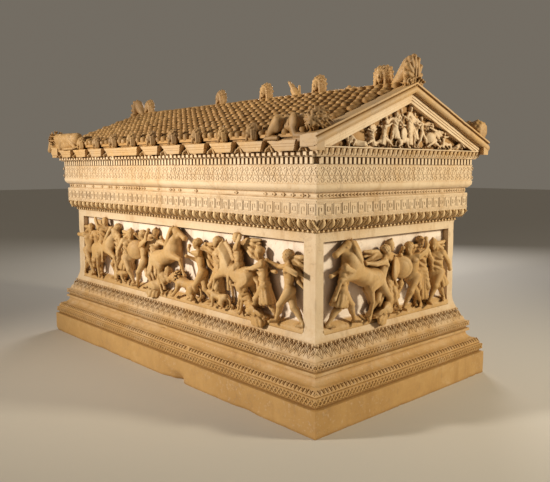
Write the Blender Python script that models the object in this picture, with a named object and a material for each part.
"""Carved marble sarcophagus in the form of a small gabled temple, in two pieces.

The chest is a hollow block on a moulded foot, with a sunk relief panel on each side. The lid is a
tiled roof with gables, which lies loose on the chest. Metres, +Z up, the origin in the middle of
the underside and +X along the length.
"""

import math

import bmesh
import bpy
import numpy as np
from mathutils import Matrix, Vector

# Driving dimensions
LENGTH = 3.18
WIDTH = 1.684
SEAM_Z = 1.252
FIT_GAP = 0.0003

# Chest
WALL_INSET = 0.162
PANEL_DEPTH = 0.045
PANEL_BOTTOM_Z = 0.492
PANEL_TOP_Z = 1.012
LONG_PANEL_HALF = 1.335
SHORT_PANEL_HALF = 0.615
CAVITY_HALF_LENGTH = 1.205
CAVITY_HALF_WIDTH = 0.455
CAVITY_FLOOR_Z = 0.46

# Lid
GEISON_TOP_Z = 1.53
ROOF_PITCH = 0.385
RIDGE_Z = 1.905
EAVE_HALF = 0.80
ROOF_HALF_LENGTH = 1.50
TILE_COURSES = 12
TILE_RISE = 0.014
TILE_NOSE = 0.012
CORONA_BOTTOM_Z = 1.507
CORONA_TOP_Z = 1.565
CORONA_INSET = 0.007
RAKE_THICKNESS = 0.117
ANTEFIX_PITCH = 0.2636

# A sunk overlap that lets a union bite without two faces lying in one plane
BITE = 0.012


def clear_scene():
    """Empties the scene before the model is made."""
    for old in list(bpy.data.objects):
        bpy.data.objects.remove(old)


def marble(name, colour):
    """A warm, dull marble."""
    material = bpy.data.materials.new(name)
    material.use_nodes = True
    shader = material.node_tree.nodes["Principled BSDF"]
    shader.inputs["Base Color"].default_value = (*colour, 1.0)
    shader.inputs["Roughness"].default_value = 0.62
    shader.inputs["Metallic"].default_value = 0.0
    return material


def add_object(name, bm, material=None):
    """Puts a bmesh in the scene as an object; without a material it is a hidden helper."""
    mesh = bpy.data.meshes.new(name)
    bm.to_mesh(mesh)
    bm.free()
    obj = bpy.data.objects.new(name, mesh)
    bpy.context.scene.collection.objects.link(obj)
    if material is not None:
        mesh.materials.append(material)
    return obj


def group_helpers(name, helpers):
    """Collects hidden helper solids, so that one Boolean takes them all."""
    group = bpy.data.collections.new(name)
    bpy.context.scene.collection.children.link(group)
    for helper in helpers:
        bpy.context.scene.collection.objects.unlink(helper)
        group.objects.link(helper)
        helper.hide_render = True
        helper.display_type = "WIRE"
    return group


def boolean(obj, operation, group):
    """Adds an exact Boolean with a whole group of helpers, which may overlap one another."""
    modifier = obj.modifiers.new(group.name, "BOOLEAN")
    modifier.operation = operation
    modifier.operand_type = "COLLECTION"
    modifier.collection = group
    modifier.solver = "EXACT"
    modifier.use_self = True


# ---------------------------------------------------------------- mouldings


def bow(start, end, bulge, steps):
    """Profile points from start to end, bowed outwards by bulge (inwards where it is negative)."""
    points = []
    for step in range(steps + 1):
        t = step / steps
        inset = start[0] + (end[0] - start[0]) * t - bulge * math.sin(math.pi * t)
        points.append((inset, start[1] + (end[1] - start[1]) * t))
    return points


def wave(start, end, swing, steps):
    """Profile points of a cyma: an S-curve that first stands out and then hollows."""
    points = []
    for step in range(steps + 1):
        t = step / steps
        inset = start[0] + (end[0] - start[0]) * t - swing * math.sin(2.0 * math.pi * t)
        points.append((inset, start[1] + (end[1] - start[1]) * t))
    return points


def chest_profile():
    """The chest's side from the ground up, as (distance in from the foot's face, height)."""
    profile = [(0.0, 0.0), (0.0, 0.150), (0.022, 0.156), (0.020, 0.166)]
    profile += bow((0.016, 0.169), (0.016, 0.208), 0.009, 4)
    profile += [(0.024, 0.212)]
    profile += wave((0.020, 0.217), (0.042, 0.246), 0.003, 4)
    profile += bow((0.064, 0.250), (0.091, 0.298), -0.009, 4)
    profile += [(0.072, 0.301), (0.072, 0.317), (0.089, 0.321), (0.089, 0.332)]
    profile += bow((0.082, 0.335), (0.083, 0.369), 0.008, 4)
    profile += [(0.097, 0.374)]
    profile += wave((0.100, 0.382), (0.142, 0.439), 0.005, 6)
    profile += bow((0.139, 0.443), (0.139, 0.459), 0.007, 3)
    profile += bow((0.140, 0.463), (WALL_INSET, 0.560), -0.006, 4)
    profile += [(WALL_INSET + 0.003, 1.046), (0.163, 1.058), (0.157, 1.086)]
    profile += bow((0.151, 1.090), (0.106, 1.142), 0.006, 4)
    profile += [(0.105, 1.146), (0.105, SEAM_Z)]
    return profile


def lid_profile():
    """The lid's cornice from the seam up to the top of the geison."""
    profile = [(0.122, SEAM_Z + FIT_GAP)]
    profile += bow((0.122, 1.257), (0.122, 1.284), 0.009, 4)
    profile += bow((0.104, 1.288), (0.084, 1.322), 0.005, 3)
    profile += [(0.083, 1.331), (0.087, 1.334), (0.087, 1.433), (0.080, 1.437), (0.076, 1.476)]
    profile += wave((0.067, 1.480), (0.044, 1.527), 0.004, 4)
    profile += [(0.043, GEISON_TOP_Z)]
    return profile


def ring(bm, inset, z):
    """The four corners of one course, inset from the foot's outline."""
    half_x = LENGTH / 2 - inset
    half_y = WIDTH / 2 - inset
    corners = ((-half_x, -half_y), (half_x, -half_y), (half_x, half_y), (-half_x, half_y))
    return [bm.verts.new((x, y, z)) for x, y in corners]


def skin_rings(bm, rings):
    """Joins neighbouring rings with quads that face outwards when the rings climb."""
    for lower, upper in zip(rings, rings[1:]):
        for corner in range(4):
            after = (corner + 1) % 4
            bm.faces.new((lower[corner], lower[after], upper[after], upper[corner]))


def chest_block():
    """The hollow block with its mouldings, before the panels are sunk."""
    bm = bmesh.new()
    rings = [ring(bm, inset, z) for inset, z in chest_profile()]
    rim_inset_x = LENGTH / 2 - CAVITY_HALF_LENGTH
    cavity = []
    for z in (SEAM_Z, CAVITY_FLOOR_Z):
        corners = ring(bm, rim_inset_x, z)
        for vert in corners:
            vert.co.y = math.copysign(CAVITY_HALF_WIDTH, vert.co.y)
        cavity.append(corners)
    skin_rings(bm, rings + cavity)
    bm.faces.new(list(reversed(rings[0])))
    bm.faces.new(cavity[1])
    return bm


def cornice_block():
    """The solid slab of the lid below the roof."""
    bm = bmesh.new()
    rings = [ring(bm, inset, z) for inset, z in lid_profile()]
    skin_rings(bm, rings)
    bm.faces.new(list(reversed(rings[0])))
    bm.faces.new(rings[-1])
    return bm


def extrude_outline(outline, axis, low, high):
    """A prism of an outline in the other two axes, drawn out along X or Y."""
    bm = bmesh.new()
    ends = []
    for depth in (low, high):
        if axis == "X":
            ends.append([bm.verts.new((depth, a, b)) for a, b in outline])
        else:
            ends.append([bm.verts.new((a, depth, b)) for a, b in outline])
    bm.faces.new(ends[0])
    bm.faces.new(ends[1])
    count = len(outline)
    for index in range(count):
        after = (index + 1) % count
        bm.faces.new((ends[0][index], ends[0][after], ends[1][after], ends[1][index]))
    bmesh.ops.recalc_face_normals(bm, faces=bm.faces)
    return bm


def box(low, high):
    """A plain block between two corners."""
    outline = ((low[1], low[2]), (high[1], low[2]), (high[1], high[2]), (low[1], high[2]))
    return extrude_outline(outline, "X", low[0], high[0])


# ---------------------------------------------------------------- relief
# A relief is a height field over its panel. Each limb is a tapered stroke in panel coordinates:
# (u, v) of both ends, its radius at both ends and how far its core stands off the ground.


def stroke(start, end, r0, r1, lift=0.02):
    """One limb or body of a figure."""
    return (start, end, r0, r1, lift)


def man(u, lean=0.0, stride=0.07, left_hand=(-0.09, 0.24), right_hand=(0.11, 0.34), foot_v=0.0):
    """A standing or striding man; the hands are given from the foot of his own axis."""
    hip = (u, foot_v + 0.235)
    neck = (u + lean, foot_v + 0.375)
    limbs = [stroke(hip, neck, 0.042, 0.055, 0.03)]
    head = (u + 1.25 * lean, foot_v + 0.43)
    limbs.append(stroke(head, head, 0.034, 0.034, 0.045))
    for side in (-1.0, 1.0):
        knee = (u + side * stride * 0.75, foot_v + 0.12)
        foot = (u + side * stride - 0.25 * lean, foot_v + 0.01)
        limbs.append(stroke(hip, knee, 0.037, 0.026, 0.025))
        limbs.append(stroke(knee, foot, 0.026, 0.018, 0.025))
    for side, hand in ((-1.0, left_hand), (1.0, right_hand)):
        shoulder = (neck[0] + side * 0.035, neck[1] - 0.01)
        elbow = ((shoulder[0] + u + hand[0]) / 2 + side * 0.02, (shoulder[1] + foot_v + hand[1]) / 2)
        limbs.append(stroke(shoulder, elbow, 0.022, 0.019, 0.04))
        limbs.append(stroke(elbow, (u + hand[0], foot_v + hand[1]), 0.019, 0.015, 0.04))
    return limbs


def shield(u, v, radius=0.085):
    """A round shield, broad and low."""
    return [stroke((u, v), (u, v), radius, radius, -0.02)]


def cloak(u, v, sweep, drop=0.16):
    """A cloak that hangs or blows out from a shoulder."""
    return [stroke((u, v), (u + sweep, v - drop), 0.04, 0.055, 0.0)]


def horse(u, way, rear=0.0, foot_v=0.0):
    """A horse that moves along u towards way (+1 or -1); rear lifts its fore part."""
    rump = (u - 0.12 * way, foot_v + 0.22)
    chest = (u + 0.12 * way, foot_v + 0.24 + rear)
    poll = (u + 0.22 * way, foot_v + 0.38 + rear * 1.1)
    limbs = [stroke(rump, chest, 0.068, 0.072, 0.025)]
    limbs.append(stroke((chest[0], chest[1] + 0.02), poll, 0.052, 0.032, 0.025))
    limbs.append(stroke(poll, (poll[0] + 0.08 * way, poll[1] - 0.055), 0.032, 0.02, 0.035))
    for offset, reach in ((-0.05, -0.05), (0.0, 0.04)):
        hock = (rump[0] + offset * way, foot_v + 0.11)
        limbs.append(stroke(rump, hock, 0.045, 0.024, 0.02))
        limbs.append(stroke(hock, (hock[0] + reach * way, foot_v + 0.01), 0.02, 0.014, 0.02))
    for offset, reach in ((0.05, 0.09), (0.0, 0.05)):
        knee = (chest[0] + (offset + 0.02) * way, chest[1] - 0.11)
        limbs.append(stroke(chest, knee, 0.036, 0.02, 0.02))
        limbs.append(stroke(knee, (knee[0] + reach * way, knee[1] - 0.09), 0.018, 0.013, 0.02))
    limbs.append(stroke(rump, (rump[0] - 0.09 * way, rump[1] - 0.12), 0.02, 0.014, 0.0))
    return limbs


def rider(u, way, rear=0.0):
    """A horse with a man astride, his near arm raised."""
    seat = (u, 0.30 + rear * 0.5)
    neck = (seat[0] + 0.02 * way, seat[1] + 0.115)
    limbs = horse(u, way, rear)
    limbs.append(stroke(seat, neck, 0.042, 0.05, 0.035))
    limbs.append(stroke((neck[0], neck[1] + 0.045), (neck[0], neck[1] + 0.045), 0.032, 0.032, 0.045))
    limbs.append(stroke(seat, (seat[0] + 0.05 * way, seat[1] - 0.12), 0.032, 0.024, 0.045))
    limbs.append(stroke(neck, (neck[0] - 0.09 * way, neck[1] + 0.03), 0.02, 0.016, 0.035))
    limbs += cloak(neck[0] - 0.02 * way, neck[1], -0.12 * way, 0.05)
    return limbs


def hound(u, way, size=1.0):
    """A running hound, boar or other low beast."""
    limbs = [stroke((u - 0.07 * way * size, 0.11), (u + 0.06 * way * size, 0.12), 0.03 * size, 0.036 * size)]
    limbs.append(stroke((u + 0.07 * way, 0.13), (u + 0.14 * way, 0.13), 0.026 * size, 0.016 * size, 0.03))
    for offset in (-0.09, -0.05, 0.05, 0.09):
        limbs.append(stroke((u + offset * way, 0.10), (u + offset * 1.4 * way, 0.01), 0.018, 0.012, 0.015))
    return limbs


def hunt_frieze():
    """The front: riders and men on foot close on beasts from both ends."""
    limbs = man(-1.24, 0.02, 0.05, (-0.06, 0.18), (0.08, 0.40))
    limbs += rider(-0.97, 1.0, 0.06)
    limbs += hound(-0.66, 1.0)
    limbs += man(-0.60, 0.03, 0.09, (-0.12, 0.44), (0.13, 0.30)) + cloak(-0.63, 0.37, -0.08)
    limbs += man(-0.36, -0.02, 0.06, (-0.10, 0.28), (0.09, 0.45)) + shield(-0.44, 0.25)
    limbs += horse(-0.08, 1.0, 0.09) + man(-0.10, 0.02, 0.05, (-0.10, 0.20), (0.14, 0.42))
    limbs += hound(0.27, -1.0, 1.35)
    limbs += man(0.40, -0.04, 0.09, (-0.14, 0.34), (0.10, 0.46)) + cloak(0.44, 0.37, 0.09)
    limbs += rider(0.76, -1.0, 0.05)
    limbs += man(1.04, -0.03, 0.08, (-0.13, 0.36), (0.06, 0.22)) + shield(1.10, 0.24)
    limbs += man(1.25, -0.02, 0.05, (-0.08, 0.46), (0.05, 0.20))
    return limbs


def march_frieze():
    """The back: a plainer file of riders and men with shields."""
    limbs = []
    for u in (-1.05, -0.10, 0.85):
        limbs += rider(u, 1.0, 0.03)
        limbs += man(u + 0.34, 0.02, 0.07, (-0.09, 0.28), (0.10, 0.43)) + shield(u + 0.27, 0.25)
    for u in (-0.42, 0.53):
        limbs += man(u, 0.0, 0.06, (-0.09, 0.22), (0.08, 0.30)) + cloak(u, 0.36, 0.0, 0.20)
    return limbs


def duel_frieze(way):
    """An end: men on foot around a horse, turned one way or the other."""
    limbs = man(-0.50 * way, 0.03 * way, 0.08, (-0.12, 0.33), (0.10, 0.45)) + shield(-0.42 * way, 0.25, 0.10)
    limbs += man(-0.22 * way, -0.04 * way, 0.09, (-0.11, 0.45), (0.12, 0.25)) + cloak(-0.18 * way, 0.36, 0.07 * way)
    limbs += horse(0.10 * way, -1.0 * way, 0.07) + man(0.10 * way, 0.0, 0.05)
    limbs += man(0.36 * way, -0.03 * way, 0.07, (-0.12, 0.40), (0.09, 0.22)) + shield(0.30 * way, 0.22)
    limbs += man(0.53 * way, 0.0, 0.04, (-0.06, 0.25), (0.05, 0.42))
    return limbs


def gable_group():
    """Fighters who fill the gable: tall in the middle, kneeling, then lying in the corners."""
    limbs = man(0.0, 0.02, 0.05, (-0.08, 0.22), (0.07, 0.30), -0.20) + shield(0.05, 0.10, 0.05)
    for side in (-1.0, 1.0):
        limbs.append(stroke((side * 0.13, 0.02), (side * 0.15, 0.13), 0.035, 0.04, 0.02))
        limbs.append(stroke((side * 0.15, 0.165), (side * 0.15, 0.165), 0.026, 0.026, 0.03))
        limbs.append(stroke((side * 0.15, 0.11), (side * 0.07, 0.14), 0.02, 0.015, 0.03))
        limbs.append(stroke((side * 0.27, 0.02), (side * 0.28, 0.09), 0.032, 0.034, 0.02))
        limbs.append(stroke((side * 0.275, 0.125), (side * 0.275, 0.125), 0.023, 0.023, 0.03))
        limbs.append(stroke((side * 0.34, 0.025), (side * 0.47, 0.02), 0.03, 0.018, 0.015))
        limbs.append(stroke((side * 0.40, 0.05), (side * 0.40, 0.05), 0.02, 0.02, 0.02))
    return limbs


def relief_heights(u, v, limbs):
    """Height of the carved surface above the panel's ground at every grid point."""
    heights = np.zeros_like(u)
    for (u0, v0), (u1, v1), r0, r1, lift in limbs:
        along_u = u1 - u0
        along_v = v1 - v0
        length_sq = max(along_u ** 2 + along_v ** 2, 1e-9)
        t = np.clip(((u - u0) * along_u + (v - v0) * along_v) / length_sq, 0.0, 1.0)
        distance_sq = (u - u0 - t * along_u) ** 2 + (v - v0 - t * along_v) ** 2
        radius = r0 + (r1 - r0) * t
        inside = radius ** 2 - distance_sq
        surface = lift + np.sqrt(np.maximum(inside, 0.0))
        heights = np.where(inside > 0.0, np.maximum(heights, surface), heights)
    return heights


def relief_slab(name, limbs, half_width, low_v, top_v, place, sill, keep, grid=0.016):
    """A closed slab whose face is the relief, thinned where it is flat, to be set in the wall.

    top_v gives the panel's upper edge at each u, and place turns (u, v, height) into a point. sill
    is how high the sloping shelf stands at the foot, keep the share of triangles that stay and
    grid the size of a cell.
    """
    columns = int(round(2.0 * (half_width + BITE) / grid))
    us = np.linspace(-half_width - BITE, half_width + BITE, columns + 1)
    tops = np.array([top_v(u) for u in us])
    rows = int(round((tops.max() - low_v + 2.0 * BITE) / grid))
    climb = np.linspace(0.0, 1.0, rows + 1)[:, None]
    grid_u = np.repeat(us[None, :], rows + 1, axis=0)
    grid_v = low_v - BITE + climb * (tops - low_v + 2.0 * BITE)[None, :]
    heights = relief_heights(grid_u, grid_v, limbs)
    heights *= np.clip((half_width - 0.004 - np.abs(grid_u)) / 0.01, 0.0, 1.0)
    heights *= np.clip((tops[None, :] - 0.004 - grid_v) / 0.01, 0.0, 1.0)
    shelf = sill * np.clip((SILL_RISE - grid_v) / SILL_RISE, 0.0, 1.0)
    heights = np.maximum(heights, shelf)

    bm = bmesh.new()
    front = []
    for row in range(rows + 1):
        points = zip(us, grid_v[row], heights[row])
        front.append([bm.verts.new(place(float(u), float(v), float(height))) for u, v, height in points])
    back = []
    for row, column in ((0, 0), (0, -1), (-1, -1), (-1, 0)):
        back.append(bm.verts.new(place(float(us[column]), float(grid_v[row, column]), -2.0 * BITE)))
    peak = len(us) // 2
    crest = bm.verts.new(place(float(us[peak]), float(grid_v[-1, peak]), -2.0 * BITE))
    for row in range(rows):
        for column in range(columns):
            bm.faces.new((front[row][column], front[row][column + 1],
                          front[row + 1][column + 1], front[row + 1][column]))
    bm.faces.new([back[1], back[0], back[3], crest, back[2]])
    bm.faces.new([back[0], back[1]] + list(reversed(front[0])))
    bm.faces.new([back[1], back[2]] + [line[-1] for line in reversed(front)])
    bm.faces.new([back[2], crest] + front[-1][peak:])
    bm.faces.new([crest, back[3]] + front[-1][:peak + 1])
    bm.faces.new([back[3], back[0]] + [line[0] for line in front])
    bmesh.ops.recalc_face_normals(bm, faces=bm.faces)
    slab = add_object(name, bm)
    if keep < 1.0:
        carved = slab.vertex_groups.new(name="carved")
        carved.add(list(range((rows + 1) * (columns + 1))), 1.0, "REPLACE")
        thin = slab.modifiers.new("thin", "DECIMATE")
        thin.ratio = keep
        thin.use_collapse_triangulate = True
        thin.vertex_group = carved.name
    return slab


SILL_RISE = 0.04
PANEL_FOOT_Z = PANEL_BOTTOM_Z + SILL_RISE / 2


def side_placer(side, sign):
    """Turns panel coordinates into points on the long (Y) or short (X) side that sign picks."""
    ground_y = WIDTH / 2 - WALL_INSET - PANEL_DEPTH
    ground_x = LENGTH / 2 - WALL_INSET - PANEL_DEPTH

    def place(u, v, height):
        z = PANEL_FOOT_Z + v
        if side == "Y":
            return Vector((-sign * u, sign * (ground_y + height), z))
        return Vector((sign * (ground_x + height), sign * u, z))

    return place


def gable_placer(sign):
    """Turns gable coordinates into points on the tympanum at the end that sign picks."""
    def place(u, v, height):
        return Vector((sign * (TYMPANUM_X + height), sign * u, GEISON_TOP_Z + v))

    return place


# ---------------------------------------------------------------- chest


def make_chest():
    """The hollow chest with its four sunk reliefs."""
    chest = add_object("chest", chest_block(), marble("chest marble", (0.62, 0.47, 0.30)))
    low_z = PANEL_BOTTOM_Z
    high_z = PANEL_TOP_Z
    sunk = []
    reach = PANEL_DEPTH + BITE
    for sign in (-1.0, 1.0):
        face_y = sign * (WIDTH / 2 - WALL_INSET - reach)
        face_x = sign * (LENGTH / 2 - WALL_INSET - reach)
        ys = sorted((face_y, sign * WIDTH / 2))
        xs = sorted((face_x, sign * LENGTH / 2))
        sunk.append(add_object("long recess", box((-LONG_PANEL_HALF, ys[0], low_z),
                                                  (LONG_PANEL_HALF, ys[1], high_z))))
        sunk.append(add_object("short recess", box((xs[0], -SHORT_PANEL_HALF, low_z),
                                                   (xs[1], SHORT_PANEL_HALF, high_z))))
    boolean(chest, "DIFFERENCE", group_helpers("panel recesses", sunk))

    low_v = low_z - PANEL_FOOT_Z
    high_v = high_z - PANEL_FOOT_Z
    friezes = (
        ("hunt", "Y", -1.0, hunt_frieze(), LONG_PANEL_HALF, 0.09),
        ("march", "Y", 1.0, march_frieze(), LONG_PANEL_HALF, 0.07),
        ("duel front", "X", 1.0, duel_frieze(1.0), SHORT_PANEL_HALF, 0.10),
        ("duel back", "X", -1.0, duel_frieze(-1.0), SHORT_PANEL_HALF, 0.08),
    )
    slabs = []
    for name, side, sign, limbs, half_width, keep in friezes:
        place = side_placer(side, sign)
        sill = PANEL_DEPTH - 0.004
        slabs.append(relief_slab(name, limbs, half_width, low_v, lambda u: high_v, place, sill, keep))
    boolean(chest, "UNION", group_helpers("reliefs", slabs))
    return chest


# ---------------------------------------------------------------- roof and gables

TYMPANUM_X = 1.488
FASCIA_X = 1.549
SIMA_X = LENGTH / 2 - CORONA_INSET
RAKE_END_Y = WIDTH / 2 - CORONA_INSET
RAKE_END_Z = GEISON_TOP_Z + 0.010
SIMA_RISE = 0.008


def roof_z(y):
    """Height of the pan tiles at a distance from the ridge."""
    return RIDGE_Z - ROOF_PITCH * abs(y)


def roof_outline():
    """The pitched roof's cross-section in (y, z), its courses of tiles stepped down each slope."""
    run = EAVE_HALF / TILE_COURSES
    half = []
    for course in range(TILE_COURSES):
        lip = (course + 1) * run
        foot = lip + TILE_NOSE
        half += [(lip, roof_z(lip) + TILE_RISE), (foot, roof_z(foot))]
    half[-1] = (EAVE_HALF, GEISON_TOP_Z - BITE)
    return [(0.0, RIDGE_Z + TILE_RISE)] + half + [(-y, z) for y, z in reversed(half)]


def raking_fascia_outline():
    """The flat band along the underside of the rake, as (y, z), down into the geison."""
    low_z = GEISON_TOP_Z - 0.8 * BITE
    inner_y = (RIDGE_Z - RAKE_THICKNESS - low_z) / ROOF_PITCH
    lip_y = WIDTH / 2 - 0.052
    end_y = RAKE_END_Y - 0.012
    half = [(inner_y, low_z), (lip_y, low_z), (lip_y, RAKE_END_Z), (end_y, RAKE_END_Z)]
    half.append((end_y, RAKE_END_Z + 0.020))
    return mirrored_band(RIDGE_Z - RAKE_THICKNESS, half, RIDGE_Z - 0.050)


def sima_outline():
    """The thick upper band of the rake, which stands a little over the tiles, as (y, z)."""
    low_y = RAKE_END_Y - 0.06
    half = [(low_y, RAKE_END_Z + 0.008), (RAKE_END_Y, RAKE_END_Z + 0.008)]
    half.append((RAKE_END_Y, roof_z(RAKE_END_Y) + SIMA_RISE))
    return mirrored_band(RIDGE_Z - 0.062, half, RIDGE_Z + SIMA_RISE)


def mirrored_band(low_peak, half, high_peak):
    """A band over both slopes, from the points of one."""
    return [(0.0, low_peak)] + half + [(0.0, high_peak)] + [(-y, z) for y, z in reversed(half)]


def gable_solids(sign):
    """The tympanum with its relief, the raking fascia and the sima over it, at one end."""
    inner = ROOF_HALF_LENGTH - 0.06
    tympanum = ((-0.70, GEISON_TOP_Z - BITE), (0.70, GEISON_TOP_Z - BITE), (0.0, RIDGE_Z - 0.07))
    pieces = []
    for name, outline, face_x in (
        ("tympanum", tympanum, TYMPANUM_X - BITE),
        ("raking fascia", raking_fascia_outline(), FASCIA_X),
        ("sima", sima_outline(), SIMA_X),
    ):
        xs = sorted((sign * inner, sign * face_x))
        pieces.append(add_object(name, extrude_outline(outline, "X", xs[0], xs[1])))
    height = RIDGE_Z - RAKE_THICKNESS - GEISON_TOP_Z
    half = height / ROOF_PITCH

    def under_rake(u):
        return max(height - ROOF_PITCH * abs(u), 0.0)

    limbs = [limb for limb in gable_group() if limb[0][1] > -0.05]
    place = gable_placer(sign)
    pieces.append(relief_slab("gable relief", limbs, half, 0.0, under_rake, place, 0.0, 1.0, 0.048))
    return pieces


# ---------------------------------------------------------------- eaves

SPOUTS_PER_SIDE = 12
ANTEFIXES_PER_SIDE = 9
LOST_SPOUT = (-1.0, -1.5)
NOTCH_TOP_HALF = 0.022
NOTCH_BOTTOM_HALF = 0.062
NOTCH_DEPTH = 0.055


def spout_steps():
    """Places of the spouts along the eaves, counted in antefix pitches from the middle."""
    return [index - (SPOUTS_PER_SIDE - 1) / 2 for index in range(SPOUTS_PER_SIDE)]


def corona_outline():
    """A corona's cross-section in (y, z), for the side at +Y."""
    return [(0.70, CORONA_BOTTOM_Z), (RAKE_END_Y - 0.004, CORONA_BOTTOM_Z),
            (RAKE_END_Y, CORONA_BOTTOM_Z + 0.006), (RAKE_END_Y, CORONA_TOP_Z), (0.70, CORONA_TOP_Z + 0.03)]


def corona_solids():
    """The drip course along both long sides."""
    pieces = []
    for side in (-1.0, 1.0):
        outline = [(side * y, z) for y, z in corona_outline()]
        bm = extrude_outline(outline, "X", -SIMA_X + 0.004, SIMA_X - 0.004)
        pieces.append(add_object("corona", bm))
    return pieces


def notch_cutters():
    """Wedges that part the corona at each spout."""
    cutters = []
    for side in (-1.0, 1.0):
        for step in spout_steps():
            if (side, step) == LOST_SPOUT:
                continue
            middle = step * ANTEFIX_PITCH
            outline = ((middle - NOTCH_BOTTOM_HALF, CORONA_BOTTOM_Z - 0.004),
                       (middle + NOTCH_BOTTOM_HALF, CORONA_BOTTOM_Z - 0.004),
                       (middle + NOTCH_TOP_HALF, CORONA_TOP_Z - 0.006),
                       (middle - NOTCH_TOP_HALF, CORONA_TOP_Z - 0.006))
            ys = sorted((side * (RAKE_END_Y - NOTCH_DEPTH), side * (RAKE_END_Y + 0.02)))
            cutters.append(add_object("spout notch", extrude_outline(outline, "Y", ys[0], ys[1])))
    return cutters


def ellipsoid(bm, centre, radii, segments=8, rings=6, turn=0.0):
    """Adds an ellipsoid; turn tips it about Y."""
    place = Matrix.Translation(centre) @ Matrix.Rotation(turn, 4, "Y")
    place = place @ Matrix.Diagonal((*radii, 1.0))
    bmesh.ops.create_uvsphere(bm, u_segments=segments, v_segments=rings, radius=1.0, matrix=place)


def egg(name, centre, radii, segments=8, rings=6, turn=0.0):
    """A separate ellipsoid, ready for a union."""
    bm = bmesh.new()
    ellipsoid(bm, centre, radii, segments, rings, turn)
    return add_object(name, bm)


def eaves_solids():
    """The leafed heads that stand along the eaves."""
    pieces = []
    for side in (-1.0, 1.0):
        for index in range(ANTEFIXES_PER_SIDE):
            x = (index - (ANTEFIXES_PER_SIDE - 1) / 2) * ANTEFIX_PITCH
            centre = (x, side * (RAKE_END_Y - 0.024), CORONA_TOP_Z + 0.041)
            pieces.append(egg("antefix", centre, (0.043, 0.026, 0.050), 7, 5))
    return pieces


# ---------------------------------------------------------------- beasts and ridge


def thinned(name, bm, voxel, keep):
    """Melts overlapping shapes into one skin and thins it."""
    obj = add_object(name, bm)
    melt = obj.modifiers.new("melt", "REMESH")
    melt.mode = "VOXEL"
    melt.voxel_size = voxel
    thin = obj.modifiers.new("thin", "DECIMATE")
    thin.ratio = keep
    thin.use_collapse_triangulate = True
    return obj


def corner_beast(sign_x, sign_y, whole=True):
    """A crouching lion over one corner, its head towards the nearer gable."""
    bm = bmesh.new()
    base = CORONA_TOP_Z
    parts = [
        ((1.235, 0.775, base + 0.062), (0.085, 0.052, 0.070)),
        ((1.215, 0.806, base + 0.035), (0.055, 0.026, 0.046)),
        ((1.360, 0.765, base + 0.082), (0.130, 0.050, 0.052)),
        ((1.470, 0.775, base + 0.070), (0.060, 0.056, 0.078)),
        ((1.180, 0.790, base + 0.010), (0.075, 0.024, 0.022)),
    ]
    if whole:
        parts += [
            ((1.530, 0.782, base + 0.092), (0.070, 0.068, 0.070)),
            ((1.600, 0.788, base + 0.084), (0.060, 0.046, 0.048)),
            ((1.535, 0.808, base + 0.020), (0.090, 0.024, 0.024)),
        ]
    for centre, radii in parts:
        ellipsoid(bm, (sign_x * centre[0], sign_y * centre[1], centre[2]), radii, 16, 12)
    return thinned("corner lion", bm, 0.012, 0.055)


def ridge_head(x):
    """A leaf-crowned head that stands across the ridge."""
    return [egg("ridge leaf", (x, 0.0, RIDGE_Z + 0.045), (0.036, 0.072, 0.083), 8, 5),
            egg("ridge face", (x, 0.0, RIDGE_Z + 0.030), (0.062, 0.050, 0.062), 7, 4)]


def acroterion(sign):
    """The tall palmette at the peak of a gable, with a back that slopes to the ridge."""
    bm = bmesh.new()
    x = SIMA_X - 0.045
    ellipsoid(bm, (sign * x, 0.0, RIDGE_Z + 0.075), (0.055, 0.075, 0.098), 16, 12)
    ellipsoid(bm, (sign * (x - 0.045), 0.0, RIDGE_Z + 0.030), (0.090, 0.060, 0.085), 16, 12, sign * 0.5)
    for side in (-1.0, 1.0):
        ellipsoid(bm, (sign * (x + 0.012), side * 0.075, RIDGE_Z - 0.002), (0.045, 0.062, 0.040), 16, 12)
    return thinned("acroterion", bm, 0.012, 0.07)


def ridge_solids():
    """What still stands on the ridge: five heads, a raised wing, a stump and two acroteria."""
    pieces = []
    for x in (-1.33, -0.266, 0.266, 0.798, 1.33):
        pieces += ridge_head(x)
    pieces.append(egg("ridge wing", (0.555, 0.0, RIDGE_Z + 0.058), (0.026, 0.030, 0.088), 8, 6, -0.6))
    pieces.append(egg("ridge stump", (1.08, 0.0, RIDGE_Z + 0.006), (0.040, 0.030, 0.034), 7, 5))
    pieces += [acroterion(1.0), acroterion(-1.0)]
    return pieces


def beast_solids():
    """The four corner lions, of which the one at +X, +Y has lost its head."""
    return [corner_beast(1.0, -1.0), corner_beast(-1.0, -1.0), corner_beast(-1.0, 1.0),
            corner_beast(1.0, 1.0, whole=False)]


# ---------------------------------------------------------------- lid


def make_lid():
    """The lid: cornice, roof, gables and what stands on them, all of one block."""
    lid = add_object("lid", cornice_block(), marble("lid marble", (0.66, 0.51, 0.33)))
    boolean(lid, "UNION", group_helpers("coronas", corona_solids()))
    boolean(lid, "DIFFERENCE", group_helpers("spout notches", notch_cutters()))
    roof = [add_object("roof", extrude_outline(roof_outline(), "X", -ROOF_HALF_LENGTH, ROOF_HALF_LENGTH))]
    for sign in (-1.0, 1.0):
        roof += gable_solids(sign)
    boolean(lid, "UNION", group_helpers("roof solids", roof))
    boolean(lid, "UNION", group_helpers("eaves solids", eaves_solids()))
    boolean(lid, "UNION", group_helpers("standing solids", ridge_solids() + beast_solids()))
    return lid


clear_scene()
make_chest()
make_lid()
